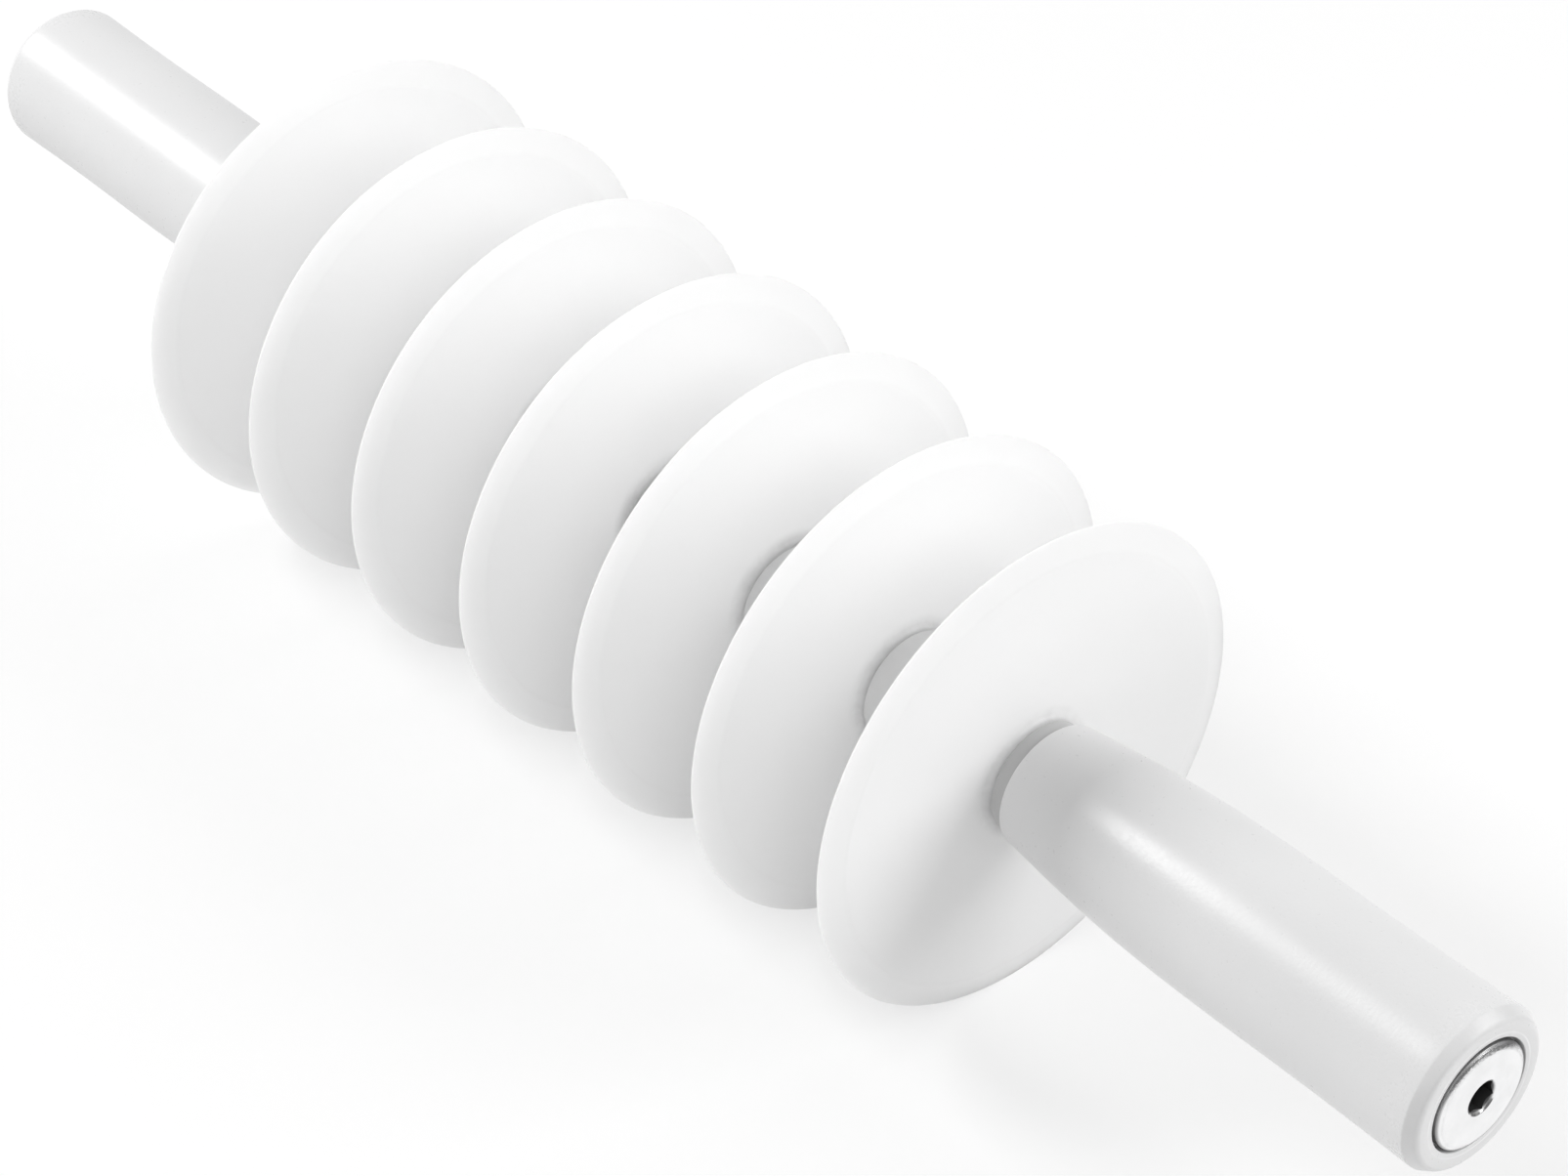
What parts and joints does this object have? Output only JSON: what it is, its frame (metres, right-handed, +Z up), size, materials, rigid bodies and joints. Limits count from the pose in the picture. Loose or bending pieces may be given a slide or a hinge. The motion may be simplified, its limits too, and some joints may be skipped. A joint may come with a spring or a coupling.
{
  "type": "pasta cutter rolling pin",
  "caption": "Pasta cutter rolling pin: a row of round blades spaced by rings on an axle, with a freely turning grip at each end.",
  "frame": {"origin": "centre of the bounding box, on the axle's axis in the middle blade's plane", "axes": "+X along the axle towards the right grip, +Z up with the blades' rims standing on a table, +Y completes the right-handed frame, the way the roller is pushed"},
  "size_m": [0.3728, 0.088, 0.088],
  "materials": {
    "blade": "white polyethylene, fine satin, bevelled rim",
    "ring": "white polyethylene, moulded, satin",
    "washer": "white polyethylene, moulded, satin",
    "handle": "white polyethylene, turned, soft sheen",
    "axle": "bright drawn stainless steel",
    "sleeve": "drawn stainless steel tube",
    "screw": "bright plated, turned bevel"
  },
  "bodies": {
    "roller": {"axle": "axle", "blade_1": "blade", "blade_2": "blade", "blade_3": "blade", "blade_4": "blade", "blade_5": "blade", "blade_6": "blade", "blade_7": "blade", "ring_1_1": "ring", "ring_1_2": "ring", "ring_1_3": "ring", "ring_1_4": "ring", "ring_1_5": "ring", "ring_2_1": "ring", "ring_2_2": "ring", "ring_2_3": "ring", "ring_2_4": "ring", "ring_2_5": "ring", "ring_3_1": "ring", "ring_3_2": "ring", "ring_3_3": "ring", "ring_3_4": "ring", "ring_3_5": "ring", "ring_4_1": "ring", "ring_4_2": "ring", "ring_4_3": "ring", "ring_4_4": "ring", "ring_4_5": "ring", "ring_5_1": "ring", "ring_5_2": "ring", "ring_5_3": "ring", "ring_5_4": "ring", "ring_5_5": "ring", "ring_6_1": "ring", "ring_6_2": "ring", "ring_6_3": "ring", "ring_6_4": "ring", "ring_6_5": "ring", "washer_left": "washer", "washer_right": "washer", "sleeve_left": "sleeve", "sleeve_right": "sleeve", "screw_left": "screw", "screw_right": "screw"},
    "grip_left": {"handle_left": "handle"},
    "grip_right": {"handle_right": "handle"}
  },
  "joints": [
    {"name": "grip_left_turn", "type": "hinge", "parent": "roller", "child": "grip_left", "pos_m": [-0.1405, 0, 0], "axis": [1, 0, 0], "continuous": true},
    {"name": "grip_right_turn", "type": "hinge", "parent": "roller", "child": "grip_right", "pos_m": [0.1405, 0, 0], "axis": [1, 0, 0], "continuous": true}
  ]
}
